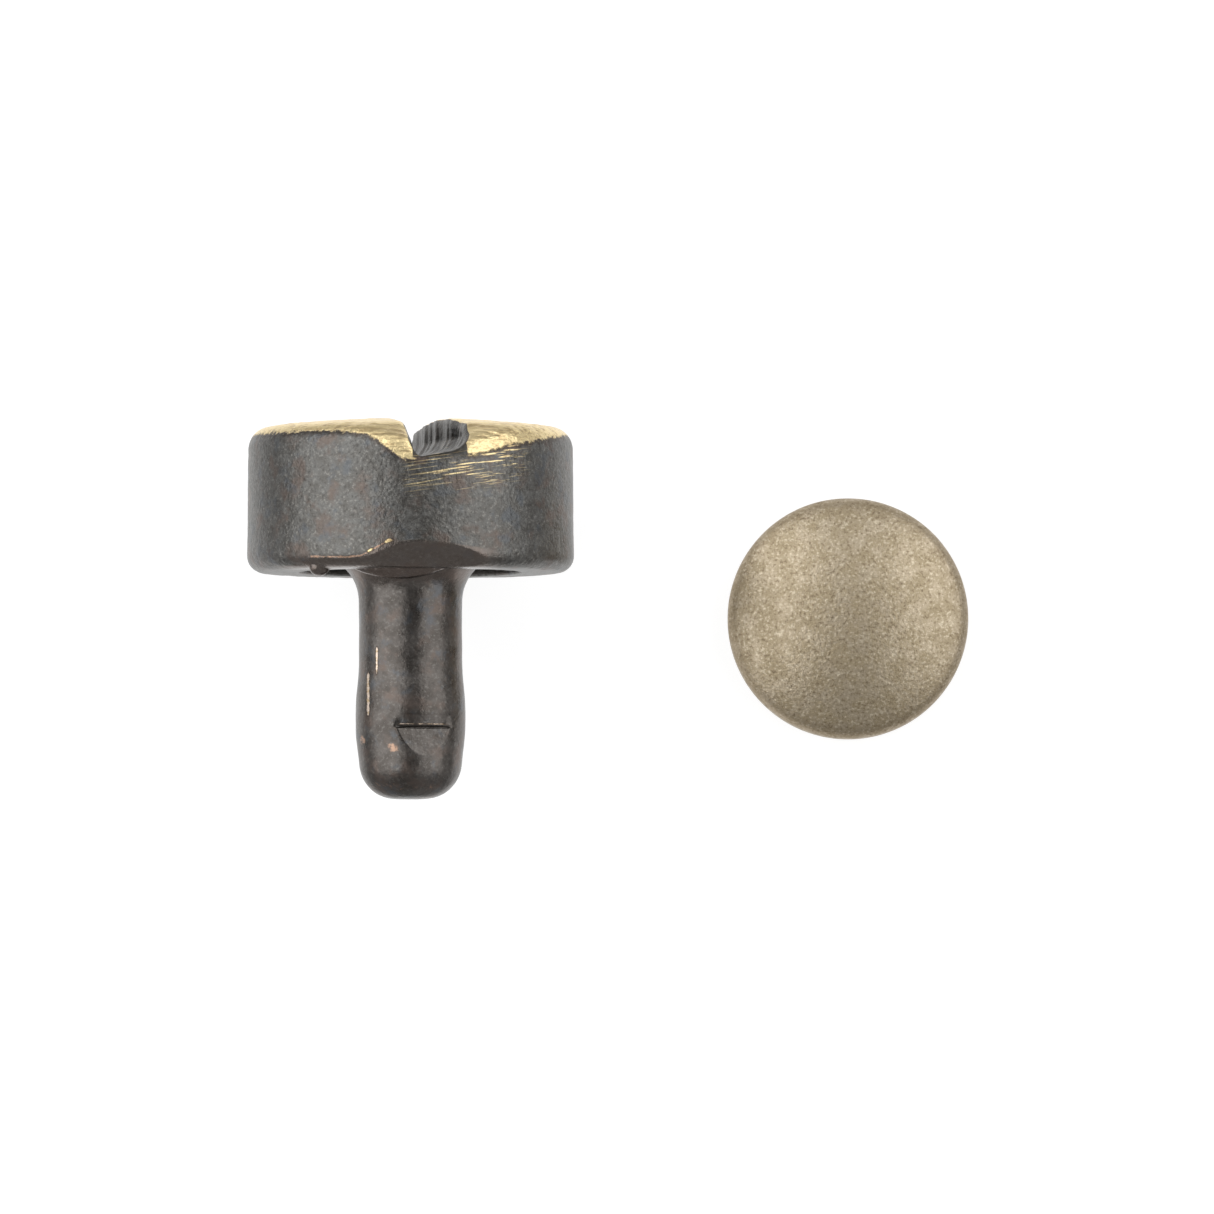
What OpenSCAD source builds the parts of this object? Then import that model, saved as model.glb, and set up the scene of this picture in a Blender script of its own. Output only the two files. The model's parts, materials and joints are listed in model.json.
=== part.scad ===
// Two-part decorative rivet for leather, laid out on a bench.
// The stud lies on the side of its round slotted head, with its post pointing to -Y.
// The domed cap that closes over the post stands beside it, mouth down.
// Millimetres, +Z up, bench surface at z = 0, origin under the middle of the pair.

/* [Slotted head] */
// Diameter of the head at its widest, just above the underside
head_d = 9.46; // [8.2:0.02:13]
// Height of the head from its underside to the top of the crown
head_h = 4.45; // [3.6:0.05:7]
// How much the radius shrinks from the foot of the wall to its top
head_draft = 0.03; // [0:0.01:0.15]
// Radius of the very shallow crown on top
crown_r = 36; // [20:1:120]
// Radius of the rounded edge between wall and crown
head_edge_r = 0.65; // [0.3:0.05:1]
// Radius of the rounded edge at the underside
head_foot_r = 0.5; // [0.1:0.05:0.6]

/* [Screwdriver slot] */
// Width of the slot across the top
slot_w = 1.58; // [0.8:0.02:2.4]
// Depth of the slot below the top of the crown
slot_depth = 1.26; // [0.5:0.02:1.6]
// Roll of the whole stud about its own axis, which carries the slot and the notch round
stud_roll = 11; // [-30:1:30]

/* [Wear and trimming on the head] */
// How far below the crown the worn flat at the front end of the slot starts on the wall
worn_drop = 0.86; // [0.8:0.02:1.3]
// Lean of the worn flat away from the axis of the stud
worn_lean = 58; // [48:1:64]
// Height on the wall at which the trimmed gate flat starts
gate_h = 0.72; // [0.5:0.01:1.2]
// Lean of the gate flat away from the axis of the stud
gate_lean = 37; // [20:1:40]
// Direction of the gate flat, in degrees round from the front end of the slot
gate_turn = -4; // [-20:1:20]
// Radius of the solder nub that hangs from the lower edge of the wall
nub_r = 0.24; // [0.1:0.01:0.35]
// Direction of the nub, in degrees round from the front end of the slot
nub_turn = -49; // [-80:1:-35]

/* [Post] */
// Length of the post below the underside of the head
post_len = 6.55; // [5.4:0.05:12]
// Diameter of the straight waist of the post
waist_d = 2.98; // [2.4:0.02:3.6]
// How much further out the swelled end of the post stands than the waist
swell_out = 0.1; // [0:0.01:0.2]
// Wall of the drawn post
post_wall = 0.35; // [0.28:0.01:0.45]
// Radius of the root that flares from the waist out to the foot
root_r = 1.28; // [1.16:0.02:1.54]
// How far the straight waist starts below the underside of the head
root_drop = 0.8; // [0.6:0.02:0.9]
// Width of the flat rim of the foot, outside the flare
foot_rim = 0.23; // [0.1:0.01:0.4]
// Length over which the waist widens into the swelled end
neck_len = 1.4; // [0.8:0.05:2]
// Length of the straight part of the swelled end
swell_len = 0.6; // [0.4:0.05:1]
// Distance from the closed end up to the straight part of the swelled end
swell_up = 1.95; // [1.5:0.05:2.4]
// Radius of the rounded corner of the closed end
tip_r = 1.05; // [0.6:0.05:1.1]
// How much smaller than the swelled radius the rounded corner starts
tip_inset = 0.1; // [0:0.01:0.2]

/* [Notch in the post] */
// Height of the notch's ledge above the lower end of the straight swell
notch_up = 0.11; // [0.05:0.01:0.3]
// Depth of the notch under its ledge
notch_depth = 0.22; // [0.1:0.01:0.25]
// Lean of the notch's floor, which runs out towards the closed end
notch_lean = 9; // [6:1:12]
// Turn of the notch round the post, away from the direction of the slot
notch_turn = 5; // [-10:1:20]

/* [Solder] */
// How far the solder stands out below the underside of the head
solder_drop = 0.26; // [0.1:0.01:0.4]
// Radius of the smooth round face of the solder
solder_r = 3.0; // [2.5:0.05:3.5]
// Distance of the middle of the solder from the side of the waist
solder_out = 1.28; // [1:0.01:1.5]
// Gap left in the recess between the solder and the foot of the post
solder_gap = 0.16; // [0.05:0.01:0.2]
// Direction of the solder, in degrees round from the front end of the slot
solder_turn = -17; // [-30:1:0]

/* [Cap] */
// Diameter of the cap
cap_d = 7.0; // [5.8:0.05:10]
// Height of the cap
cap_h = 2.1; // [1.75:0.05:3]
// Wall of the drawn cap shell
shell_t = 0.28; // [0.2:0.01:0.32]
// Height at which the wall of the cap turns into its rounded shoulder
cap_wall_h = 0.75; // [0.7:0.01:0.9]
// Radius of the rounded shoulder
shoulder_r = 0.55; // [0.45:0.01:0.7]
// Radius of the rolled edge at the mouth
roll_r = 0.25; // [0.1:0.01:0.28]
// Width of the rolled lip, from the outside of the cap to its inner edge
lip_w = 0.7; // [0.6:0.01:0.9]

/* [Eyelet in the cap] */
// Wall of the drawn eyelet
eyelet_t = 0.22; // [0.15:0.01:0.28]
// Inner radius of the bend between the eyelet's plate and its collar
bend_in = 0.08; // [0.02:0.01:0.15]
// Gap left between the top of the collar and the inside of the dome
collar_head = 0.3; // [0.15:0.01:0.5]

/* [Fits] */
// Radial gap between the foot of the post and the recess in the head
foot_gap = 0.2; // [0.1:0.01:0.3]
// Radial gap between the collar of the eyelet and the waist of the post
collar_gap = 0.06; // [0.05:0.01:0.09]
// Radial gap between the eyelet and the cap shell
eyelet_gap = 0.02; // [0.01:0.01:0.05]

/* [Layout on the bench] */
// Sideways distance between the axis of the stud and the middle of the cap
spread = 12.69; // [12:0.01:20]
// How far the middle of the cap lies towards the post end, from the underside of the head
cap_back = 1.17; // [0:0.01:3]

/* [Hidden] */
$fn = 96;
arc_steps = 8;
over = 1; // how far a cutter stands past what it cuts

// Radii of the stud. Along its axis the underside of the head is at zero.
head_r = head_d / 2;
head_top_r = head_r - head_draft;
waist_r = waist_d / 2;
swell_r = waist_r + swell_out;
foot_flare_r = waist_r + root_r;
foot_r = foot_flare_r + foot_rim;
recess_r = foot_r + foot_gap;
foot_low = root_r - root_drop;
recess_depth = foot_low + post_wall;

// The crown's arc ends where it meets the rounded edge without a corner.
crown_end = asin((head_top_r - head_edge_r) / (crown_r - head_edge_r));
edge_z = head_h - head_edge_r - (crown_r - head_edge_r) * (1 - cos(crown_end));

// Stations along the post, from the flare down to the closed end
waist_top = -root_drop;
swell_low = -post_len + swell_up;
swell_top = swell_low + swell_len;
waist_low = swell_top + neck_len;
tip_start_r = swell_r - tip_inset;
tip_arc_r = min(tip_r, tip_start_r - 0.1);
tip_z = -post_len + tip_arc_r;

// The cap's dome arc ends where it meets the shoulder without a corner.
cap_r = cap_d / 2;
shoulder_c = cap_r - shoulder_r;
dome_end = 2 * atan((cap_h - cap_wall_h - shoulder_r) / shoulder_c);
dome_r = shoulder_r + shoulder_c / sin(dome_end);
dome_c = cap_h - dome_r;

// The eyelet's skirt fills the shell's wall, and its collar takes the waist of the post.
skirt_r = cap_r - shell_t - eyelet_gap;
bore_r = waist_r + collar_gap;
bend_r = eyelet_t + bend_in;
collar_r = bore_r + eyelet_t;
collar_top = dome_c + sqrt(pow(dome_r - shell_t, 2) - pow(collar_r, 2)) - collar_head;

// Places of the two parts on the bench
stud_x = (head_r - spread - cap_r) / 2;
cap_x = stud_x + spread;
back_end = max(head_h, cap_r - cap_back);
front_end = max(post_len, cap_r + cap_back);
seat_y = (front_end - back_end) / 2;
cap_y = seat_y - cap_back;

head_color = [0.37, 0.35, 0.33];
post_color = [0.33, 0.30, 0.28];
solder_color = [0.30, 0.26, 0.24];
cap_color = [0.64, 0.58, 0.48];
eyelet_color = [0.60, 0.52, 0.38];

// Points of an arc, with its angles counted from straight up towards the outside
function arc(c, r, a0, a1) =
    [for (i = [0:arc_steps]) let (a = a0 + (a1 - a0) * i / arc_steps) c + r * [sin(a), cos(a)]];

// Points of a soft S from one radius to another, both ends running straight
function ease(r0, z0, r1, z1) =
    [for (i = [0:arc_steps]) let (t = i / arc_steps) [r0 + (r1 - r0) * (1 - cos(180 * t)) / 2, z0 + (z1 - z0) * t]];

// Outside of the post below its foot, from the flare down to the closed end, pulled in by a wall
function post_side(wall) = concat(
    arc([foot_flare_r, waist_top], root_r + wall, 0, -90),
    ease(waist_r - wall, waist_low, swell_r - wall, swell_top),
    ease(swell_r - wall, swell_low, tip_start_r - wall, tip_z),
    arc([tip_start_r - tip_arc_r, tip_z], tip_arc_r - wall, 90, 180),
    [[0, -post_len + wall]]
);

// Puts a child, built upright with its axis on Z, where the stud lies
module lay_stud() {
    translate([stud_x, seat_y, head_r])
        rotate([-90, 0, 0])
            rotate([0, 0, stud_roll])
                children();
}

// Everything in front of a plane that meets the wall at height z and leans back above it,
// or, with a negative lean, below it
module front_flat(z, lean) {
    translate([0, -head_r, z])
        rotate([-lean, 0, 0])
            translate([-head_r, -head_d, lean > 0 ? -over : -head_h])
                cube([head_d, head_d, head_h + over]);
}

module gate_flat() {
    rotate([0, 0, gate_turn])
        front_flat(gate_h, -gate_lean);
}

module head_drum() {
    rotate_extrude()
        polygon(concat(
            arc([0, head_h - crown_r], crown_r, 0, crown_end),
            arc([head_top_r - head_edge_r, edge_z], head_edge_r, crown_end, 90),
            arc([head_r - head_foot_r, head_foot_r], head_foot_r, 90, 180),
            [[recess_r, 0], [recess_r, recess_depth], [0, recess_depth]]
        ));
}

module slot_cut() {
    translate([-slot_w / 2, -head_d, head_h - slot_depth])
        cube([slot_w, 2 * head_d, slot_depth + over]);
}

module slotted_head() {
    color(head_color)
        lay_stud() {
            difference() {
                head_drum();
                slot_cut();
                front_flat(head_h - worn_drop, worn_lean);
                gate_flat();
            }
            rotate([0, 0, nub_turn])
                translate([0, head_foot_r - head_r, 0])
                    sphere(r = nub_r);
        }
}

// The post filled in, which is what the solder is fitted round
module post_blank() {
    rotate_extrude()
        polygon(concat(
            [[0, recess_depth], [foot_r, recess_depth], [foot_r, foot_low]],
            post_side(0)
        ));
}

module post_hollow() {
    rotate_extrude()
        polygon(concat([[0, recess_depth]], post_side(post_wall)));
}

module notch_cut() {
    intersection() {
        rotate([0, 0, notch_turn])
            translate([0, -swell_r + notch_depth, swell_low + notch_up])
                rotate([-notch_lean, 0, 0])
                    translate([-swell_r, -swell_r, -swell_up])
                        cube([2 * swell_r, swell_r, swell_up + over]);
        translate([0, 0, -post_len])
            cylinder(h = swell_up + notch_up, r = swell_r + over);
    }
}

module rivet_post() {
    color(post_color)
        lay_stud()
            difference() {
                post_blank();
                post_hollow();
                notch_cut();
            }
}

// A round-faced run of solder that fills one side of the recess and stands a little below it.
// Below the underside it stays inside the recess, so that the seat ring is left clear.
module solder_fillet() {
    color(solder_color)
        lay_stud()
            difference() {
                intersection() {
                    rotate([0, 0, solder_turn])
                        translate([0, -waist_r - solder_out, solder_r - solder_drop])
                            sphere(r = solder_r);
                    union() {
                        cylinder(h = foot_low - solder_gap, r = recess_r);
                        translate([0, 0, -over])
                            cylinder(h = over, r1 = recess_r - over, r2 = recess_r);
                    }
                }
                post_blank();
                gate_flat();
            }
}

module cap_shell() {
    color(cap_color)
        translate([cap_x, cap_y, 0])
            rotate_extrude()
                polygon(concat(
                    arc([0, dome_c], dome_r, 0, dome_end),
                    arc([shoulder_c, cap_wall_h], shoulder_r, dome_end, 90),
                    arc([cap_r - roll_r, roll_r], roll_r, 90, 180),
                    [[cap_r - lip_w, 0], [cap_r - lip_w, shell_t], [cap_r - shell_t, shell_t]],
                    arc([shoulder_c, cap_wall_h], shoulder_r - shell_t, 90, dome_end),
                    arc([0, dome_c], dome_r - shell_t, dome_end, 0)
                ));
}

module cap_eyelet() {
    color(eyelet_color)
        translate([cap_x, cap_y, shell_t])
            rotate_extrude()
                polygon(concat(
                    [[skirt_r, cap_wall_h - shell_t]],
                    arc([skirt_r - eyelet_t, eyelet_t], eyelet_t, 90, 180),
                    arc([bore_r + bend_r, bend_r], bend_r, 180, 270),
                    [[bore_r, collar_top - shell_t], [collar_r, collar_top - shell_t]],
                    arc([bore_r + bend_r, bend_r], bend_in, 270, 180),
                    [[skirt_r - eyelet_t, eyelet_t], [skirt_r - eyelet_t, cap_wall_h - shell_t]]
                ));
}

slotted_head();
rivet_post();
solder_fillet();
cap_shell();
cap_eyelet();
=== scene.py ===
"""Looks of a two-part decorative rivet for leather.

A stud with a round slotted head lies on its side on a pale bench, and the domed cap that
closes over its post stands beside it. Each sub-assembly is a class that shapes its own
meshes in millimetres, in its own upright frame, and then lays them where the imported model
has them. All finishes are procedural.
"""

import json
import logging
import math
from dataclasses import dataclass, field
from enum import Enum

import bmesh
import bpy
import numpy as np
from mathutils import Matrix, Vector


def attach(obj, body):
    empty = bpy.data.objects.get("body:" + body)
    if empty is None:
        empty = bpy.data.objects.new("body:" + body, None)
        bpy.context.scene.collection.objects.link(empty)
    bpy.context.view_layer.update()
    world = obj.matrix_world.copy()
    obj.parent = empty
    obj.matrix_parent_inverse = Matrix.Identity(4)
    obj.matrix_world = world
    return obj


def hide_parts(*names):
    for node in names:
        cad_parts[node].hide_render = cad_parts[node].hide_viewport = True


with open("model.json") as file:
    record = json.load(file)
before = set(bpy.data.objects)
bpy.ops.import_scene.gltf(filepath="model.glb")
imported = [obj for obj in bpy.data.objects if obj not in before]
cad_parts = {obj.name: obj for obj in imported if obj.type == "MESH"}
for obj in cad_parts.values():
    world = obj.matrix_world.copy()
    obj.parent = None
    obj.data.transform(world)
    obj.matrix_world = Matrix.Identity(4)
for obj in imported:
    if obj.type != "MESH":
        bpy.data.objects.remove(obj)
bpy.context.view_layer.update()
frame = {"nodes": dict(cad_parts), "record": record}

MM = 0.001
ON_AXIS = 1e-6
LOG = logging.getLogger("rivet")

Profile = list[tuple[float, float]]
Face = tuple[int, ...]
Triple = tuple[float, float, float]
Tone = tuple[float, float, float]


class Body(Enum):
    """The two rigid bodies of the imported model."""

    STUD = "stud"
    CAP = "cap"


class Combine(Enum):
    """Ways to combine two solids."""

    CUT = "DIFFERENCE"
    ADD = "UNION"


# --------------------------------------------------------------------------------------
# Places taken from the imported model
# --------------------------------------------------------------------------------------


def mount_point(name: str) -> Vector:
    """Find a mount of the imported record.

    Args:
        name: The mount's name in the record.

    Returns:
        Its point in the row frame, in millimetres.
    """
    for mount in frame["record"]["mounts"]:
        if mount["name"] == name:
            return Vector(mount["pos_m"]) / MM
    raise KeyError(name)


@dataclass(frozen=True)
class Places:
    """Where the two parts lie, in millimetres in the row frame.

    Attributes:
        stud_axis: A point on the stud's axis, level with the underside of its head.
        cap_foot: The middle of the cap's mouth, on the bench.
        roll: Turn of the stud about its own axis, in degrees.
    """

    stud_axis: Vector
    cap_foot: Vector
    roll: float = 11.0

    @classmethod
    def from_frame(cls) -> "Places":
        """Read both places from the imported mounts."""
        waist, seat, collar = (mount_point(n) for n in ("post_waist", "head_seat", "cap_collar"))
        return cls(Vector((waist.x, seat.y, waist.z)), Vector((collar.x, collar.y, 0.0)))

    def lay_stud(self) -> Matrix:
        """Matrix from the stud's upright frame to the row frame, both in millimetres."""
        turn = Matrix.Rotation(math.radians(-90), 4, "X") @ Matrix.Rotation(math.radians(self.roll), 4, "Z")
        return Matrix.Translation(self.stud_axis) @ turn

    def stand_cap(self) -> Matrix:
        """Matrix from the cap's upright frame to the row frame, both in millimetres."""
        return Matrix.Translation(self.cap_foot)


# --------------------------------------------------------------------------------------
# Mesh work
# --------------------------------------------------------------------------------------


def arc(centre: tuple[float, float], radius: float, start: float, end: float, steps: int = 24) -> Profile:
    """Points of an arc, with angles in degrees counted from straight up towards the outside.

    Args:
        centre: Radius and height of the arc's centre.
        radius: Radius of the arc.
        start: First angle.
        end: Last angle.
        steps: Number of chords.

    Returns:
        The points, both ends included.
    """
    angles = [math.radians(start + (end - start) * i / steps) for i in range(steps + 1)]
    return [(centre[0] + radius * math.sin(a), centre[1] + radius * math.cos(a)) for a in angles]


def ease(start: tuple[float, float], end: tuple[float, float], steps: int = 24) -> Profile:
    """Points of a soft S between two points, running straight along the axis at both ends.

    Args:
        start: Radius and height of the first point.
        end: Radius and height of the last point.
        steps: Number of chords.

    Returns:
        The points, both ends included.
    """
    shares = [i / steps for i in range(steps + 1)]
    bends = [(1 - math.cos(math.pi * t)) / 2 for t in shares]
    return [
        (start[0] + (end[0] - start[0]) * b, start[1] + (end[1] - start[1]) * t)
        for t, b in zip(shares, bends)
    ]


def divided(profile: Profile, step: float) -> Profile:
    """Split a profile's chords and drop its doubled points.

    Args:
        profile: The points, as radius and height.
        step: Greatest length of a chord.

    Returns:
        The points with the new ones between them.
    """
    points = [profile[0]]
    for (r0, z0), (r1, z1) in zip(profile, profile[1:]):
        count = max(1, math.ceil(math.hypot(r1 - r0, z1 - z0) / step))
        points += [(r0 + (r1 - r0) * i / count, z0 + (z1 - z0) * i / count) for i in range(1, count + 1)]
    return [p for i, p in enumerate(points) if i == 0 or math.dist(p, points[i - 1]) > ON_AXIS]


def softened(profile: Profile, rounds: int) -> Profile:
    """Even out the bends of a profile while its two ends stay where they are.

    Args:
        profile: The points, as radius and height.
        rounds: How many times each point is drawn towards its neighbours.

    Returns:
        The moved points.
    """
    at = np.array(profile)
    for _ in range(rounds):
        at[1:-1] = 0.25 * at[:-2] + 0.5 * at[1:-1] + 0.25 * at[2:]
    return [tuple(p) for p in at]


def revolved(profile: Profile, segments: int, closed: bool) -> tuple[np.ndarray, list[Face]]:
    """Turn a profile about the upright axis.

    Args:
        profile: Points as radius and height. An open profile starts and ends on the axis.
        segments: Number of divisions around.
        closed: True if the last point joins the first, as on a ring-shaped section.

    Returns:
        Vertices and faces.
    """
    angles = np.arange(segments) * (2 * math.pi / segments)
    verts: list[np.ndarray] = []
    rings: list[list[int]] = []
    for radius, height in profile:
        start = sum(len(v) for v in verts)
        if radius < ON_AXIS:
            verts.append(np.array([[0.0, 0.0, height]]))
            rings.append([start] * segments)
        else:
            level = np.full(segments, height)
            verts.append(np.column_stack((radius * np.cos(angles), radius * np.sin(angles), level)))
            rings.append(list(range(start, start + segments)))
    pairs = list(zip(rings, rings[1:])) + ([(rings[-1], rings[0])] if closed else [])
    faces = []
    for upper, lower in pairs:
        for i in range(segments):
            j = (i + 1) % segments
            corners = (upper[i], lower[i], lower[j], upper[j])
            faces.append(tuple(dict.fromkeys(corners)))
    return np.vstack(verts), faces


def tube_faces(stations: int, sides: int) -> list[Face]:
    """Faces of a closed tube whose vertices run section by section.

    Args:
        stations: Number of sections along the tube.
        sides: Number of vertices in each section.

    Returns:
        The faces, with one at each end.
    """
    last = (stations - 1) * sides
    faces = [tuple(range(sides)), tuple(last + i for i in reversed(range(sides)))]
    for start in range(0, last, sides):
        faces += [
            (start + i, start + sides + i, start + sides + (i + 1) % sides, start + (i + 1) % sides)
            for i in range(sides)
        ]
    return faces


def lattice_noise(points: np.ndarray, pitch: float, seed: int) -> np.ndarray:
    """Smooth value noise, the same on every run.

    Args:
        points: Positions, one row each.
        pitch: Size of a lattice cell, in the units of the points.
        seed: Picks one of many patterns.

    Returns:
        One value from -1 to 1 for each point.
    """
    cell = np.floor(points / pitch).astype(np.int64)
    part = points / pitch - cell
    part = part * part * (3 - 2 * part)
    total = np.zeros(len(points))
    for corner in np.ndindex(2, 2, 2):
        at = cell + np.array(corner)
        key = (at[:, 0] * 73856093) ^ (at[:, 1] * 19349663) ^ (at[:, 2] * 83492791) ^ (seed * 2654435761)
        key = (key ^ (key >> 13)) * 1274126177 & 0xFFFFFFFF
        value = ((key ^ (key >> 16)) & 0xFFFF) / 32767.5 - 1
        total += value * np.prod(np.where(corner, part, 1 - part), axis=1)
    return total


def layered_noise(points: np.ndarray, pitch: float, seed: int, layers: int = 3) -> np.ndarray:
    """Sum of lattice noises, each at half the pitch and half the strength of the one before."""
    return sum(lattice_noise(points, pitch / 2**i, seed + 17 * i) / 2**i for i in range(layers))


def soft_step(value: np.ndarray, low: float, high: float) -> np.ndarray:
    """Rise smoothly from 0 at low to 1 at high."""
    share = np.clip((value - low) / (high - low), 0, 1)
    return share * share * (3 - 2 * share)


def bell(value: np.ndarray, middle: float, width: float | np.ndarray) -> np.ndarray:
    """Bell curve of height 1 around middle."""
    return np.exp(-(((value - middle) / width) ** 2))


def within(value: np.ndarray, rise: tuple[float, float], fall: tuple[float, float]) -> np.ndarray:
    """Rise smoothly from 0 to 1 over the first range and fall back to 0 over the second."""
    return soft_step(value, *rise) * (1 - soft_step(value, *fall))


def about_axis(degrees: float) -> np.ndarray:
    """Matrix of a turn about the upright axis."""
    return np.array(Matrix.Rotation(math.radians(degrees), 3, "Z"))


class Workpiece:
    """A mesh under work, in millimetres in its part's upright frame."""

    def __init__(self, name: str, verts: np.ndarray, faces: list[Face]) -> None:
        """Make the mesh, with its faces looking outwards.

        Args:
            name: The mesh's name.
            verts: Positions, one row each.
            faces: Vertex numbers of each face.
        """
        self.name = name
        self.mesh = bpy.data.meshes.new(name)
        self.mesh.from_pydata(verts.tolist(), [], faces)
        work = bmesh.new()
        work.from_mesh(self.mesh)
        bmesh.ops.recalc_face_normals(work, faces=work.faces)
        work.to_mesh(self.mesh)
        work.free()

    @property
    def points(self) -> np.ndarray:
        """Vertex positions.

        Returns:
            One row for each vertex.
        """
        found = np.empty(len(self.mesh.vertices) * 3)
        self.mesh.vertices.foreach_get("co", found)
        return found.reshape(-1, 3)

    @points.setter
    def points(self, moved: np.ndarray) -> None:
        """Move the vertices."""
        self.mesh.vertices.foreach_set("co", moved.ravel())
        self.mesh.update()

    @property
    def normals(self) -> np.ndarray:
        """Vertex normals.

        Returns:
            One row for each vertex.
        """
        found = np.empty(len(self.mesh.vertices) * 3)
        self.mesh.vertices.foreach_get("normal", found)
        return found.reshape(-1, 3)

    def modified(self, kind: str, **settings: object) -> None:
        """Run one modifier over the mesh and keep its result.

        Args:
            kind: The modifier's type name.
            settings: Its settings.
        """
        holder = bpy.data.objects.new(self.name + "_work", self.mesh)
        bpy.context.scene.collection.objects.link(holder)
        modifier = holder.modifiers.new("work", kind)
        for key, value in settings.items():
            setattr(modifier, key, value)
        evaluated = holder.evaluated_get(bpy.context.evaluated_depsgraph_get())
        result = bpy.data.meshes.new_from_object(evaluated)
        bpy.data.objects.remove(holder)
        self.mesh = result

    def combined(self, tool: "Workpiece", how: Combine) -> None:
        """Cut another workpiece out of this one, or add it.

        Args:
            tool: The other workpiece.
            how: Whether to cut or to add.
        """
        holder = bpy.data.objects.new(tool.name + "_tool", tool.mesh)
        bpy.context.scene.collection.objects.link(holder)
        self.modified("BOOLEAN", operation=how.value, solver="EXACT", object=holder)
        bpy.data.objects.remove(holder)

    def remeshed(self, voxel: float) -> None:
        """Rebuild the surface as an even net of small quads."""
        self.modified("REMESH", mode="VOXEL", voxel_size=voxel, use_smooth_shade=True)

    def relaxed(self, rounds: int, weight: np.ndarray | float = 0.5) -> None:
        """Pull each vertex towards its neighbours.

        Args:
            rounds: How many times to do it.
            weight: How far to go each time, from 0 to 1, for all vertices or for each one.
        """
        edges = np.empty(len(self.mesh.edges) * 2, np.int64)
        self.mesh.edges.foreach_get("vertices", edges)
        near, far = edges.reshape(-1, 2).T
        count = len(self.mesh.vertices)
        degree = np.bincount(near, minlength=count) + np.bincount(far, minlength=count)
        share = np.broadcast_to(np.asarray(weight, float), count)[:, None]
        at = self.points
        for _ in range(rounds):
            total = np.column_stack(
                [
                    np.bincount(near, at[far, i], count) + np.bincount(far, at[near, i], count)
                    for i in range(3)
                ]
            )
            at = at + share * (total / degree[:, None] - at)
        self.points = at

    def pushed(self, height: np.ndarray) -> None:
        """Move each vertex along its normal by its own height."""
        self.points = self.points + self.normals * height[:, None]

    def marked(self, name: str, values: np.ndarray) -> None:
        """Store one value per vertex for a finish to read."""
        mark = self.mesh.attributes.new(name, "FLOAT", "POINT")
        mark.data.foreach_set("value", np.clip(values, 0, 1).astype(np.float32))

    def finished(self, place: Matrix) -> bpy.types.Object:
        """Lay the piece in the row frame and make it an object.

        Args:
            place: Matrix from the part's upright frame to the row frame, in millimetres.

        Returns:
            The new object, in metres.
        """
        self.mesh.transform(Matrix.Scale(MM, 4) @ place)
        self.mesh.polygons.foreach_set("use_smooth", [True] * len(self.mesh.polygons))
        self.mesh.update()
        piece = bpy.data.objects.new(self.name, self.mesh)
        bpy.context.scene.collection.objects.link(piece)
        return piece


# --------------------------------------------------------------------------------------
# Shader building blocks
# --------------------------------------------------------------------------------------


class NodeSheet:
    """Short ways to place and link nodes in one tree."""

    def __init__(self, tree: bpy.types.NodeTree) -> None:
        """Work on the given tree."""
        self.tree = tree

    def add(self, kind: str, inputs: dict | None = None, **settings: object) -> bpy.types.Node:
        """Place a node.

        Args:
            kind: The node's type name.
            inputs: Input name or number to a value or to the output socket that feeds it.
            settings: Properties of the node.

        Returns:
            The node.
        """
        node = self.tree.nodes.new(kind)
        for key, value in settings.items():
            setattr(node, key, value)
        for key, value in (inputs or {}).items():
            if isinstance(value, bpy.types.NodeSocket):
                self.tree.links.new(value, node.inputs[key])
            else:
                node.inputs[key].default_value = value
        return node

    def maths(self, operation: str, *values: object, clamp: bool = False) -> bpy.types.NodeSocket:
        """Place a Math node on numbers or sockets and give its result."""
        inputs = dict(enumerate(values))
        return self.add("ShaderNodeMath", inputs, operation=operation, use_clamp=clamp).outputs[0]

    def ramp(self, value: object, low: float, high: float) -> bpy.types.NodeSocket:
        """Rise smoothly from 0 at low to 1 at high."""
        inputs = {"Value": value, "From Min": low, "From Max": high}
        return self.add("ShaderNodeMapRange", inputs, interpolation_type="SMOOTHSTEP").outputs[0]

    def blend(self, share: object, first: object, second: object) -> bpy.types.NodeSocket:
        """Mix two colours."""
        return self.add("ShaderNodeMix", {0: share, 6: first, 7: second}, data_type="RGBA").outputs[2]

    def tinted(self, colour: object, mask: object, strength: float, tone: Tone) -> bpy.types.NodeSocket:
        """Lay a tone over a colour where a mask says, at a strength from 0 to 1."""
        return self.blend(self.maths("MULTIPLY", mask, strength), colour, rgba(tone))

    def mix_value(self, share: object, first: object, second: object) -> bpy.types.NodeSocket:
        """Mix two numbers."""
        return self.add("ShaderNodeMix", {0: share, 2: first, 3: second}, data_type="FLOAT").outputs[0]

    def noise(self, at: object, scale: object, detail: float, rough: float) -> bpy.types.NodeSocket:
        """Noise from 0 to 1, with scale counted per millimetre of at."""
        inputs = {"Vector": at, "Scale": scale, "Detail": detail, "Roughness": rough}
        return self.add("ShaderNodeTexNoise", inputs).outputs[0]

    def mark(self, name: str) -> bpy.types.NodeSocket:
        """Read a value that the mesh stores at each vertex."""
        return self.add("ShaderNodeAttribute", attribute_name=name).outputs["Fac"]

    def millimetres(self) -> bpy.types.NodeSocket:
        """Object coordinates, in millimetres."""
        place = self.add("ShaderNodeTexCoord").outputs["Object"]
        return self.add("ShaderNodeVectorMath", {0: place, "Scale": 1 / MM}, operation="SCALE").outputs[0]

    def stretched(self, at: object, by: object) -> bpy.types.NodeSocket:
        """Multiply each coordinate by its own factor."""
        return self.add("ShaderNodeVectorMath", {0: at, 1: by}, operation="MULTIPLY").outputs[0]


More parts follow.
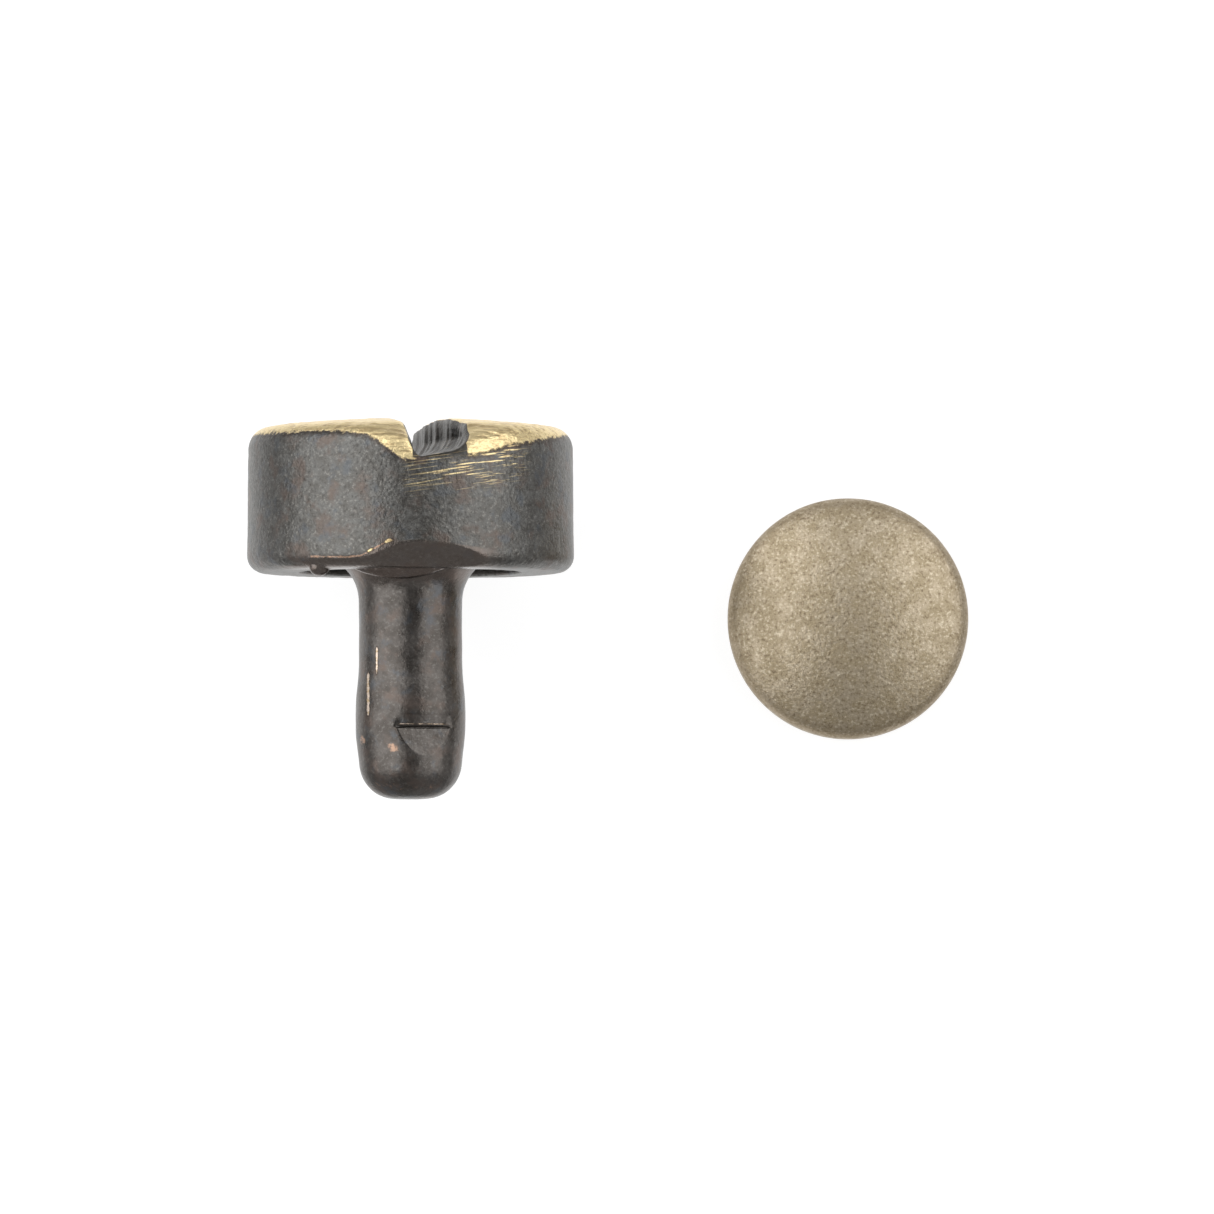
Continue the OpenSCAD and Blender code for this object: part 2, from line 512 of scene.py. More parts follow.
def rgba(colour: Tone) -> tuple[float, float, float, float]:
    """Add full alpha to a colour."""
    return (*colour, 1.0)


def new_group(
    name: str, inputs: dict[str, object], outputs: dict[str, str]
) -> tuple[bpy.types.NodeTree, NodeSheet]:
    """Start a shader node group.

    Args:
        name: The group's name.
        inputs: Input names to default values: a number, a colour of four, or a vector of three.
        outputs: Output names to socket types.

    Returns:
        The group and a sheet to work on it.
    """
    tree = bpy.data.node_groups.new(name, "ShaderNodeTree")
    kinds = {4: "NodeSocketColor", 3: "NodeSocketVector"}
    for key, value in inputs.items():
        kind = "NodeSocketFloat" if isinstance(value, (int, float)) else kinds[len(value)]
        socket = tree.interface.new_socket(key, in_out="INPUT", socket_type=kind)
        socket.default_value = value
    for key, kind in outputs.items():
        tree.interface.new_socket(key, in_out="OUTPUT", socket_type=kind)
    return tree, NodeSheet(tree)


class SharedEffects:
    """The node groups that several finishes use, each built once."""

    def __init__(self) -> None:
        """Build every group."""
        self.mottle = self._mottle()
        self.wear = self._wear()
        self.scratches = self._scratches()
        self.skin = self._skin()

    @staticmethod
    def _mottle() -> bpy.types.NodeTree:
        """Cloudy change between two tones, with fine bright flecks and dark pits.

        Returns:
            The group.
        """
        inputs = {
            "At": (0.0, 0.0, 0.0),
            "Dark": (0.0, 0.0, 0.0, 1.0),
            "Light": (1.0, 1.0, 1.0, 1.0),
            "Speck": (1.0, 1.0, 1.0, 1.0),
            "Pit": (0.0, 0.0, 0.0, 1.0),
            "Cloud Scale": 1.0,
            "Speck Scale": 10.0,
            "Speck Share": 0.3,
        }
        tree, sheet = new_group("mottle", inputs, {"Colour": "NodeSocketColor", "Cloud": "NodeSocketFloat"})
        given = sheet.add("NodeGroupInput").outputs
        cloud = sheet.noise(given["At"], given["Cloud Scale"], 4.0, 0.6)
        share = sheet.ramp(cloud, 0.35, 0.65)
        base = sheet.blend(share, given["Dark"], given["Light"])
        speck = sheet.noise(given["At"], given["Speck Scale"], 2.0, 0.7)
        flecks = sheet.maths("MULTIPLY", sheet.ramp(speck, 0.54, 0.68), given["Speck Share"])
        pits = sheet.maths("MULTIPLY", sheet.ramp(speck, 0.46, 0.32), given["Speck Share"])
        colour = sheet.blend(flecks, base, given["Speck"])
        colour = sheet.blend(pits, colour, given["Pit"])
        sheet.add("NodeGroupOutput", {"Colour": colour, "Cloud": share})
        return tree

    @staticmethod
    def _wear() -> bpy.types.NodeTree:
        """Ragged mask of the metal that shows where a patina is rubbed away, and a fringe round it.

        Returns:
            The group.
        """
        inputs = {"At": (0.0, 0.0, 0.0), "Reach": 0.0, "Ragged": 0.3, "Scale": 4.0}
        tree, sheet = new_group("wear", inputs, {"Mask": "NodeSocketFloat", "Fringe": "NodeSocketFloat"})
        given = sheet.add("NodeGroupInput").outputs
        coarse = sheet.noise(given["At"], given["Scale"], 5.0, 0.65)
        pull = sheet.maths("MULTIPLY", sheet.maths("SUBTRACT", coarse, 0.5), given["Ragged"])
        reach = sheet.maths("ADD", given["Reach"], pull)
        fringe = sheet.ramp(reach, 0.15, 0.42)
        sheet.add("NodeGroupOutput", {"Mask": sheet.ramp(reach, 0.44, 0.62), "Fringe": fringe})
        return tree

    @staticmethod
    def _scratches() -> bpy.types.NodeTree:
        """Fine streaks that run along one direction.

        Returns:
            The group.
        """
        inputs = {
            "At": (0.0, 0.0, 0.0),
            "Tilt": (0.0, 0.0, 0.0),
            "Stretch": (1.0, 12.0, 12.0),
            "Sharpness": 0.1,
        }
        tree, sheet = new_group("scratches", inputs, {"Mask": "NodeSocketFloat"})
        given = sheet.add("NodeGroupInput").outputs
        turn = {"Vector": given["At"], "Rotation": given["Tilt"]}
        turned = sheet.add("ShaderNodeVectorRotate", turn, rotation_type="EULER_XYZ").outputs[0]
        streak = sheet.noise(sheet.stretched(turned, given["Stretch"]), 1.0, 3.0, 0.6)
        low = sheet.maths("SUBTRACT", 0.58, given["Sharpness"])
        reach = {"Value": streak, "From Min": low, "From Max": 0.62}
        mask = sheet.add("ShaderNodeMapRange", reach).outputs[0]
        sheet.add("NodeGroupOutput", {"Mask": mask})
        return tree

    @staticmethod
    def _skin() -> bpy.types.NodeTree:
        """Height of a rough skin: coarse lumps with fine grain over them.

        Returns:
            The group.
        """
        inputs = {"At": (0.0, 0.0, 0.0), "Lump Scale": 3.0, "Grain Scale": 14.0, "Grain Share": 0.5}
        tree, sheet = new_group("skin", inputs, {"Height": "NodeSocketFloat"})
        given = sheet.add("NodeGroupInput").outputs
        lumps = sheet.noise(given["At"], given["Lump Scale"], 3.0, 0.5)
        grain = sheet.noise(given["At"], given["Grain Scale"], 3.0, 0.6)
        sheet.add("NodeGroupOutput", {"Height": sheet.mix_value(given["Grain Share"], lumps, grain)})
        return tree


def grouped(
    sheet: NodeSheet, group: bpy.types.NodeTree, inputs: dict[str, object]
) -> dict[str, bpy.types.NodeSocket]:
    """Place a shared group in a material.

    Args:
        sheet: The material's sheet.
        group: The group.
        inputs: Its input names to values or to the output sockets that feed them.

    Returns:
        Its outputs by name.
    """
    node = sheet.add("ShaderNodeGroup", inputs, node_tree=group)
    return {socket.name: socket for socket in node.outputs}


def new_metal(name: str) -> tuple[bpy.types.Material, NodeSheet, bpy.types.Node]:
    """Start a metal finish.

    Args:
        name: The material's name.

    Returns:
        The material, a sheet to work on it, and its Principled BSDF.
    """
    material = bpy.data.materials.new(name)
    material.use_nodes = True
    sheet = NodeSheet(material.node_tree)
    shader = material.node_tree.nodes["Principled BSDF"]
    shader.inputs["Metallic"].default_value = 1.0
    return material, sheet, shader


# --------------------------------------------------------------------------------------
# Finishes
# --------------------------------------------------------------------------------------


@dataclass(frozen=True)
class OxidisedBrass:
    """Dark oxidised brass that is worn back to bright metal.

    Attributes:
        name: The material's name.
        dark: Deep tone of the patina.
        light: Light tone of the patina.
        speck: Tone of the fine flecks.
        pit: Tone of the fine pits.
        warm: Brownish tone of some patches.
        cool: Bluish tone of others.
        solder: Smooth tone where solder has wetted the metal.
        bright: Bare metal in the worn places, and the tone of painted highlights on edges.
        dull: Deeper tone of the lines across it.
        tarnish: Dark fringe round the worn places.
        copper: Reddish metal in the rubbed places, and the tone of a painted highlight on the head's lower
            edge.
        hollow_shade: Tone of the painted shade in the slot, the recess and the slit.
        patina_rough: Roughness of the patina.
        bright_rough: Roughness of the bare metal.
        solder_rough: Roughness where solder has wetted the metal.
        grain: Depth of the fine grain, in millimetres.
        cloud_scale: Patches of tone per millimetre.
        speck_share: Strength of the flecks and pits.
        streak_tilt: Lean of the streaks, in degrees.
        streak_stretch: Streaks per millimetre along each axis.
        line_stretch: Lines in the bare metal per millimetre along each axis.
    """

    name: str
    dark: Tone = (0.130, 0.125, 0.116)
    light: Tone = (0.172, 0.170, 0.162)
    speck: Tone = (0.30, 0.29, 0.27)
    pit: Tone = (0.075, 0.070, 0.065)
    warm: Tone = (0.165, 0.130, 0.112)
    cool: Tone = (0.125, 0.137, 0.152)
    solder: Tone = (0.23, 0.18, 0.155)
    bright: Tone = (1.0, 0.81, 0.45)
    dull: Tone = (0.64, 0.47, 0.25)
    tarnish: Tone = (0.075, 0.052, 0.040)
    copper: Tone = (0.50, 0.33, 0.24)
    hollow_shade: Tone = (0.03, 0.026, 0.022)
    patina_rough: float = 0.36
    bright_rough: float = 0.30
    solder_rough: float = 0.24
    grain: float = 0.03
    cloud_scale: float = 3.0
    speck_share: float = 0.55
    streak_tilt: float = -8.0
    streak_stretch: Triple = (0.6, 19.0, 2.0)
    line_stretch: Triple = (0.9, 14.0, 8.0)

    def material(self, effects: SharedEffects) -> bpy.types.Material:
        """Build the finish.

        Args:
            effects: The shared node groups.

        Returns:
            The material.
        """
        material, sheet, shader = new_metal(self.name)
        at = sheet.millimetres()
        patina = grouped(sheet, effects.mottle, {
            "At": at, "Dark": rgba(self.dark), "Light": rgba(self.light), "Speck": rgba(self.speck),
            "Pit": rgba(self.pit), "Cloud Scale": self.cloud_scale, "Speck Scale": 10.0,
            "Speck Share": self.speck_share,
        })
        # The worn mark also carries painted highlights on the edges of the head and the post.
        worn = grouped(sheet, effects.wear, {
            "At": at, "Reach": sheet.mark("worn"), "Ragged": 0.7, "Scale": 7.0,
        })
        # The rubbed mark also carries a painted copper highlight along the head's lower edge.
        rubbed = grouped(sheet, effects.wear, {
            "At": at, "Reach": sheet.mark("rubbed"), "Ragged": 0.7, "Scale": 6.0,
        })
        streaks = grouped(sheet, effects.scratches, {
            "At": at, "Tilt": (0.0, 0.0, math.radians(self.streak_tilt)),
            "Stretch": self.streak_stretch, "Sharpness": 0.03,
        })
        streaked = sheet.maths("MULTIPLY", streaks["Mask"], sheet.mark("streaked"), clamp=True)
        bare = sheet.maths("MAXIMUM", worn["Mask"], streaked)
        lines = sheet.noise(sheet.stretched(at, self.line_stretch), 1.0, 3.0, 0.6)

        # Base colour, from the patina up: patches, solder, rubbed copper with a painted copper highlight, a
        # tarnished fringe, bare metal with painted highlights, and painted shade in the hollows.
        brown = sheet.ramp(sheet.noise(at, 1.3, 3.0, 0.6), 0.5, 0.68)
        blue = sheet.ramp(sheet.noise(at, 1.7, 3.0, 0.6), 0.46, 0.32)
        dulled = sheet.maths("MULTIPLY", sheet.ramp(lines, 0.52, 0.38), 0.8)
        colour = sheet.tinted(patina["Colour"], brown, 0.7, self.warm)
        colour = sheet.tinted(colour, blue, 0.55, self.cool)
        colour = sheet.tinted(colour, sheet.mark("soldered"), 0.5, self.solder)
        colour = sheet.blend(rubbed["Mask"], colour, rgba(self.copper))
        colour = sheet.tinted(colour, worn["Fringe"], 0.5, self.tarnish)
        colour = sheet.blend(bare, colour, sheet.blend(dulled, rgba(self.bright), rgba(self.dull)))
        # Painted shade, darkest deep in the slot and in the recess.
        colour = sheet.tinted(colour, sheet.mark("painted_shade"), 0.75, self.hollow_shade)
        sheet.tree.links.new(colour, shader.inputs["Base Color"])

        rough = sheet.mix_value(patina["Cloud"], self.patina_rough - 0.03, self.patina_rough + 0.05)
        rough = sheet.mix_value(sheet.mark("soldered"), rough, self.solder_rough)
        rough = sheet.mix_value(bare, rough, self.bright_rough)
        sheet.tree.links.new(rough, shader.inputs["Roughness"])

        skin = grouped(sheet, effects.skin, {
            "At": at, "Lump Scale": 3.0, "Grain Scale": 9.0, "Grain Share": 0.75,
        })
        combed = sheet.maths("MULTIPLY_ADD", lines, worn["Mask"], skin["Height"])
        calm = sheet.maths("SUBTRACT", 1.0, sheet.maths("MULTIPLY", sheet.mark("soldered"), 0.35))
        bump = {"Strength": calm, "Distance": self.grain * MM, "Height": combed}
        normal = sheet.add("ShaderNodeBump", bump).outputs[0]
        sheet.tree.links.new(normal, shader.inputs["Normal"])
        return material


@dataclass(frozen=True)
class AntiqueBrass:
    """Satin antique brass with a fine glittering grain.

    Attributes:
        name: The material's name.
        dark: Deep tone.
        light: Light tone.
        glint: Tone of the single bright grains.
        pit: Tone of the fine pits.
        rim: Tone of the painted shade near the outer edge.
        rough: Roughness.
        bump: Depth of the grain, in millimetres.
    """

    name: str
    dark: Tone = (0.44, 0.36, 0.24)
    light: Tone = (0.52, 0.435, 0.315)
    glint: Tone = (0.78, 0.69, 0.53)
    pit: Tone = (0.23, 0.175, 0.11)
    rim: Tone = (0.20, 0.15, 0.10)
    rough: float = 0.47
    bump: float = 0.024

    def material(self, effects: SharedEffects) -> bpy.types.Material:
        """Build the finish.

        Args:
            effects: The shared node groups.

        Returns:
            The material.
        """
        material, sheet, shader = new_metal(self.name)
        at = sheet.millimetres()
        tone = grouped(sheet, effects.mottle, {
            "At": at, "Dark": rgba(self.dark), "Light": rgba(self.light), "Speck": rgba(self.glint),
            "Pit": rgba(self.pit), "Cloud Scale": 2.2, "Speck Scale": 11.0, "Speck Share": 0.72,
        })
        # Painted shade, darker towards the rim.
        colour = sheet.tinted(tone["Colour"], sheet.mark("painted_shade"), 0.45, self.rim)
        sheet.tree.links.new(colour, shader.inputs["Base Color"])
        rough = sheet.mix_value(tone["Cloud"], self.rough + 0.04, self.rough - 0.04)
        sheet.tree.links.new(rough, shader.inputs["Roughness"])
        skin = grouped(sheet, effects.skin, {
            "At": at, "Lump Scale": 3.0, "Grain Scale": 9.5, "Grain Share": 0.85,
        })
        bump = {"Strength": 1.0, "Distance": self.bump * MM, "Height": skin["Height"]}
        normal = sheet.add("ShaderNodeBump", bump).outputs[0]
        sheet.tree.links.new(normal, shader.inputs["Normal"])
        return material


Finish = OxidisedBrass | AntiqueBrass


def dressed(
    work: Workpiece, node: str, place: Matrix, body: Body, finish: Finish, effects: SharedEffects
) -> bpy.types.Object:
    """Lay a piece in the row frame, dress it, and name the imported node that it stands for.

    Args:
        work: The shaped piece.
        node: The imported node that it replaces.
        place: Matrix from the part's upright frame to the row frame, in millimetres.
        body: The rigid body that it rides on.
        finish: Its finish.
        effects: The shared node groups.

    Returns:
        The finished object.
    """
    work.name = node + "_skin"
    piece = work.finished(place)
    piece.data.materials.clear()
    piece.data.materials.append(finish.material(effects))
    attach(piece, body.value)
    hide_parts(node)
    LOG.info("%s: %d faces", piece.name, len(piece.data.polygons))
    return piece


# --------------------------------------------------------------------------------------
# The stud
# --------------------------------------------------------------------------------------


@dataclass
class Stud:
    """The rivet's stud: slotted head, drawn post and the solder that joins them.

    All sizes are in millimetres in the stud's upright frame, which has the underside of
    the head at height 0, the crown above it and the post below it.

    Attributes:
        places: Where the parts lie.
        head_r: Radius of the head at its foot.
        head_h: Height of the head.
        head_draft: How much smaller the head's radius is at the top.
        crown_r: Radius of the crown's curve.
        edge_r: Rounding between crown and wall.
        foot_edge_r: Rounding between wall and underside.
        recess_r: Radius of the recess in the underside.
        recess_depth: Depth of the recess.
        slot_w: Width of the slot.
        slot_depth: Depth of the slot below the crown.
        slot_rise: How much higher the slot's floor is on the right.
        worn_drop: Depth below the crown at which the worn flat meets the wall.
        worn_lean: Lean of the worn flat, in degrees.
        gate_h: Height at which the trimmed flat meets the wall.
        gate_lean: Lean of the trimmed flat, in degrees.
        gate_turn: Turn of the trimmed flat round the head, in degrees.
        nub_turn: Turn of the bead of solder round the head, in degrees.
        bead: Half sizes of the bead.
        bead_up: Height of the bead's middle over the underside.
        waist_r: Radius of the post's waist.
        swell_r: Radius of its swelled end.
        post_wall: Wall of the post.
        root_r: Radius of the flare at its foot.
        root_drop: How far below the underside the flare starts.
        foot_rim: Width of the foot's flat rim.
        post_len: Length of the post below the head.
        neck_len: Length of the slope from waist to swelled end.
        swell_len: Length of the straight part of the swelled end.
        swell_up: Height of its lower edge over the tip.
        tip_r: Rounding of the tip.
        tip_inset: How much smaller the radius is where the tip's rounding starts.
        notch_up: How far the notch's ledge lies above the swelled end's lower edge.
        notch_depth: Depth of the ledge.
        notch_lean: Lean of the flat below it, in degrees.
        notch_turn: Turn of the notch round the post, in degrees.
        notch_ends: Half widths at which the strip and the slit start and finish fading out.
        strip_w: Width of the strip over the slit.
        strip_depth: Depth of the strip at the slit.
        slit_depth: Depth of the slit.
        wear_level: Height on the head down to which the patina is rubbed away far from the slot.
        wear_dip: How much lower it reaches by the slot.
        wear_rise: How much less it does so right of the slot.
        head_steps: Divisions round the head.
        post_steps: Divisions round the post.
        head_voxel: Size of the quads in the head's net.
        solder_voxel: Size of the quads in the solder's net.
        pieces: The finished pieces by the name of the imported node.
    """

    places: Places
    head_r: float = 4.73
    head_h: float = 4.45
    head_draft: float = 0.03
    crown_r: float = 36.0
    edge_r: float = 0.65
    foot_edge_r: float = 0.5
    recess_r: float = 3.2
    recess_depth: float = 0.83
    slot_w: float = 1.58
    slot_depth: float = 1.26
    slot_rise: float = 0.2
    worn_drop: float = 0.86
    worn_lean: float = 58.0
    gate_h: float = 0.72
    gate_lean: float = 37.0
    gate_turn: float = -4.0
    nub_turn: float = -49.0
    bead: Triple = (0.27, 0.34, 0.26)
    bead_up: float = 0.03
    waist_r: float = 1.49
    swell_r: float = 1.59
    post_wall: float = 0.35
    root_r: float = 1.28
    root_drop: float = 0.8
    foot_rim: float = 0.23
    post_len: float = 6.55
    neck_len: float = 1.4
    swell_len: float = 0.6
    swell_up: float = 1.95
    tip_r: float = 1.05
    tip_inset: float = 0.1
    notch_up: float = 0.11
    notch_depth: float = 0.22
    notch_lean: float = 9.0
    notch_turn: float = 5.0
    notch_ends: tuple[float, float] = (0.66, 0.92)
    strip_w: float = 0.36
    strip_depth: float = 0.09
    slit_depth: float = 0.10
    wear_level: float = 3.94
    wear_dip: float = 1.05
    wear_rise: float = 0.36
    head_steps: int = 540
    post_steps: int = 300
    head_voxel: float = 0.045
    solder_voxel: float = 0.03
    pieces: dict[str, bpy.types.Object] = field(default_factory=dict)

    def seen(self, points: np.ndarray) -> tuple[np.ndarray, np.ndarray]:
        """Where points lie with the stud on its side.

        Args:
            points: Points in the upright frame.

        Returns:
            Their sideways place and their height over the axis.
        """
        roll = math.radians(self.places.roll)
        x, y = points[:, 0], points[:, 1]
        return x * math.cos(roll) - y * math.sin(roll), -(x * math.sin(roll) + y * math.cos(roll))

    # ---- head ----

    def head_profile(self) -> Profile:
        """Section of the head, from the crown round the outside to the recess.

        Returns:
            The open profile.
        """
        top_r = self.head_r - self.head_draft
        inner, outer = top_r - self.edge_r, self.crown_r - self.edge_r
        end = math.degrees(math.asin(inner / outer))
        edge_z = self.head_h - self.edge_r - outer * (1 - math.cos(math.radians(end)))
        return (
            arc((0.0, self.head_h - self.crown_r), self.crown_r, 0, end)
            + arc((inner, edge_z), self.edge_r, end, 90)
            + arc((self.head_r - self.foot_edge_r, self.foot_edge_r), self.foot_edge_r, 90, 180)
            + [(self.recess_r, 0.0), (self.recess_r, self.recess_depth), (0.0, self.recess_depth)]
        )

    def slot_tool(self) -> Workpiece:
        """Cutter for the slot, with the uneven flutes that a rough cut leaves on its walls.

        Returns:
            The cutter.
        """
        stations = np.linspace(-1.2 * self.head_r, 1.2 * self.head_r, 300)
        line = np.column_stack((stations, np.zeros_like(stations), np.zeros_like(stations)))
        left_flutes = 0.04 * layered_noise(line, 0.75, 5)
        right_flutes = 0.09 * layered_noise(line, 0.7, 7)
        floor_flutes = 0.03 * layered_noise(line, 0.5, 9)
        low, high, half = self.head_h - self.slot_depth, self.head_h + 1, self.slot_w / 2
        verts = []
        # Each section runs down the left wall, across the rounded floor and up the right wall.
        for y, dl, dr, df in zip(stations, left_flutes, right_flutes, floor_flutes):
            left, right = -half + dl, half + dr
            left_floor, right_floor = low + df, low + df + self.slot_rise
            section = (
                (left, high), (left, low + 0.25), (left + 0.07, left_floor + 0.08),
                (-half + 0.22, left_floor), (half - 0.35, right_floor), (right - 0.15, right_floor + 0.12),
                (right, low + self.slot_rise + 0.4), (right, high),
            )
            verts += [(x, y, z) for x, z in section]
        return Workpiece("slot_tool", np.array(verts), tube_faces(len(stations), len(section)))

    def nub(self) -> Workpiece:
        """Smooth bead of solder that hangs from the lower edge of the wall.

        Returns:
            The bead.
        """
        ball = arc((0.0, 0.0), 1.0, 0, 180, 16)
        verts, faces = revolved([(0.0, 1.0)] + ball[1:-1] + [(0.0, -1.0)], 24, closed=False)
        verts = verts * self.bead + np.array((0.0, self.foot_edge_r - self.head_r, self.bead_up))
        return Workpiece("nub", verts @ about_axis(self.nub_turn).T, faces)

    def flat_tool(self, height: float, lean: float, turn: float) -> Workpiece:
        """Block in front of a plane that meets the wall at a height and leans back.

        Args:
            height: Where the plane meets the wall.
            lean: Degrees that it leans back above that, or below it if negative.
            turn: Degrees round from the front end of the slot.

        Returns:
            The block.
        """
        low, high = (-1.0, self.head_h) if lean > 0 else (-self.head_h, 1.0)
        reach = 2 * self.head_r
        verts = np.array([
            (x, y, z) for x in (-self.head_r, self.head_r) for y in (-reach, 0.0) for z in (low, high)
        ])
        turned = Matrix.Rotation(math.radians(turn), 3, "Z")
        leaned = Matrix.Rotation(math.radians(-lean), 3, "X")
        verts = np.array([turned @ (Vector((0, -self.head_r, height)) + leaned @ Vector(v)) for v in verts])
        faces = [(0, 1, 3, 2), (4, 6, 7, 5), (0, 4, 5, 1), (2, 3, 7, 6), (0, 2, 6, 4), (1, 5, 7, 3)]
        return Workpiece("flat_tool", verts, faces)

    def wear_line(self, side: np.ndarray, above: np.ndarray) -> np.ndarray:
        """Height on the head down to which the patina is rubbed away.

        Args:
            side: Sideways place of each point.
            above: Height of each point over the axis.

        Returns:
            The height for each point.
        """
        middle, left_w, right_w = 0.22, 1.03, 2.8
        dip = self.wear_dip * bell(side, middle, np.where(side < middle, left_w, right_w))
        dip = dip - self.wear_rise * bell(side, 0.75, 0.75)
        return self.wear_level - dip * soft_step(above, 0.5, 2.5)

    def shape_head(self) -> Workpiece:
        """Turn, cut and sculpt the head.

        Returns:
            The shaped head.
        """
        verts, faces = revolved(divided(self.head_profile(), 0.12), self.head_steps, closed=False)
        head = Workpiece("head", verts, faces)
        head.combined(self.nub(), Combine.ADD)
        head.combined(self.slot_tool(), Combine.CUT)
        head.combined(self.flat_tool(self.head_h - self.worn_drop, self.worn_lean, 0.0), Combine.CUT)
        head.combined(self.flat_tool(self.gate_h, -self.gate_lean, self.gate_turn), Combine.CUT)
        head.remeshed(self.head_voxel)
        head.relaxed(4)
        front = self.on_front(self.seen(head.points)[1])
        self.round_off(head)
        at = head.points
        side, above = self.seen(at)
        in_slot = self.in_slot(head)
        rubbed = soft_step(at[:, 2] - self.wear_line(side, above), -0.1, 0.3) * (1 - in_slot)
        # Lumps of the casting all over, and the dents and drawn lines that rubbing leaves.
        cast = 0.009 * layered_noise(at, 0.9, 21) + 0.004 * layered_noise(at, 0.2, 22)
        drawn = np.column_stack((0.25 * at[:, 0], 0.25 * at[:, 1], at[:, 2]))
        dents = 0.012 * layered_noise(at, 0.25, 23) + 0.010 * layered_noise(drawn, 0.07, 24)
        smooth = 1 - 0.9 * self.on_gate(at)
        skin = smooth * cast * (1 - 0.5 * rubbed) * (1 - in_slot)
        head.pushed(skin + rubbed * front * dents)
        return head

    def round_off(self, head: Workpiece) -> None:
        """Round the rubbed edges off, most of all where the worn flat meets the crown and the slot.

        Args:
            head: The cut head.
        """
        side, above = self.seen(head.points)
        worn_top = soft_step(head.points[:, 2] - self.wear_line(side, above), -0.3, 0.1)
        facet = soft_step(above, 1.5, 2.8) * (1 - soft_step(np.abs(side), 2.4, 3.4))
        deep = self.in_slot(head) * soft_step(self.below_top(head.points), 0.1, 0.45)
        head.relaxed(90, 0.5 * worn_top * (1 - deep) * (0.12 + 0.88 * facet))

    @staticmethod
    def on_front(above: np.ndarray) -> np.ndarray:
        """Share by which points of the head face up, from their height over the axis."""
        return soft_step(above, 0.5, 2.0)

    def below_top(self, at: np.ndarray) -> np.ndarray:
        """Depth of points under the top face.

        Args:
            at: Points of the head.

        Returns:
            Depth under the crown or under the worn flat, whichever is lower there.
        """
        crown = self.head_h - (at[:, 0] ** 2 + at[:, 1] ** 2) / (2 * self.crown_r)
        lean = math.tan(math.radians(self.worn_lean))
        flat = self.head_h - self.worn_drop + (self.head_r + at[:, 1]) / lean
        return np.minimum(crown, flat) - at[:, 2]

    def in_slot(self, head: Workpiece) -> np.ndarray:
        """Find the slot's walls and floor.

        Args:
            head: The head.

        Returns:
            Share from 0 to 1 by which each of its vertices lies on them.
        """
        at = head.points
        over = np.abs(at[:, 0]) - self.slot_w / 2
        wall = soft_step(np.abs(head.normals[:, 0]), 0.4, 0.7) * (1 - soft_step(over, 0.12, 0.22))
        floor = soft_step(self.below_top(at), 0.08, 0.2) * (1 - soft_step(over, -0.04, 0.04))
        inside = soft_step(self.head_r - np.hypot(at[:, 0], at[:, 1]), 0.0, 0.06)
        return np.maximum(wall, floor) * inside * (at[:, 2] > self.head_h - self.slot_depth - 0.05)

    def gate_line(self, side: np.ndarray) -> np.ndarray:
        """Upper edge of the smooth patch round the trimmed flat.

        Args:
            side: Sideways places.

        Returns:
            Its height over the underside at each place.
        """
        across = (-3.1, -2.9, -1.75, -1.4, -1.1, -0.6, 0.3, 1.1, 2.3, 2.9, 3.3)
        up = (0.10, 0.31, 0.27, 0.30, 0.46, 0.72, 0.77, 0.69, 0.53, 0.30, 0.05)
        return np.interp(side, across, up)

    def on_gate(self, at: np.ndarray) -> np.ndarray:
        """Find the smooth patch round the trimmed flat.

        Args:
            at: Points of the head.

        Returns:
            Share from 0 to 1 by which each lies on the patch.
        """
        side, above = self.seen(at)
        patch = soft_step(self.gate_line(side) - at[:, 2], -0.03, 0.03) * soft_step(above, 2.0, 3.0)
        return patch * (1 - soft_step(side, 1.9, 2.9)) * (at[:, 2] > -0.4)

    def mark_head(self, head: Workpiece) -> None:
        """Store where the head's finish is worn, streaked and rubbed, where highlights are painted on the
        edge over the trimmed flat, and where shade is painted in the slot and the recess.

        Args:
            head: The shaped head.
        """
        at = head.points
        side, above = self.seen(at)
        in_slot = self.in_slot(head)
        front = self.on_front(above)
        over_wear = at[:, 2] - self.wear_line(side, above)
        over_gate = at[:, 2] - self.gate_line(side)
        # Two painted highlights: bright spots on the edge over the trimmed flat.
        spots = np.maximum(bell(side, -1.12, 0.12), bell(side, -0.6, 0.18)) * bell(over_gate, 0.03, 0.07)
        head.marked("worn", np.clip(0.5 + over_wear / 0.5, 0, 1) * (1 - in_slot) + 0.85 * spots * front)
        under_slot = within(side, (-0.3, 0.3), (2.9, 3.6)) * front
        head.marked("streaked", under_slot * within(-over_wear, (-0.3, 0.0), (0.5, 1.2)))
        # A painted copper highlight along the same edge, and rubbed patches near the left end.
        edge_highlight = bell(over_gate, 0.02, 0.06) * within(side, (-3.0, -2.8), (-0.7, -0.3)) * front
        patches = bell(side, -3.55, 0.2) * bell(at[:, 2], 1.4, 0.3) * front
        head.marked("rubbed", 0.62 * edge_highlight + 0.45 * patches)
        head.marked("soldered", self.on_gate(at))
        out, up = np.hypot(at[:, 0], at[:, 1]), at[:, 2]
        in_recess = (out < self.recess_r + 0.03) & (up < self.recess_depth + 0.1) & (up > 0.04)
        # Painted shade in the slot, deeper further down, and all over the recess.
        slot_shade = in_slot * (0.5 + 0.4 * soft_step(self.below_top(at), 0.1, 0.4))
        head.marked("painted_shade", np.maximum(slot_shade, np.where(in_recess, 1.0, 0.0)))

    # ---- post ----

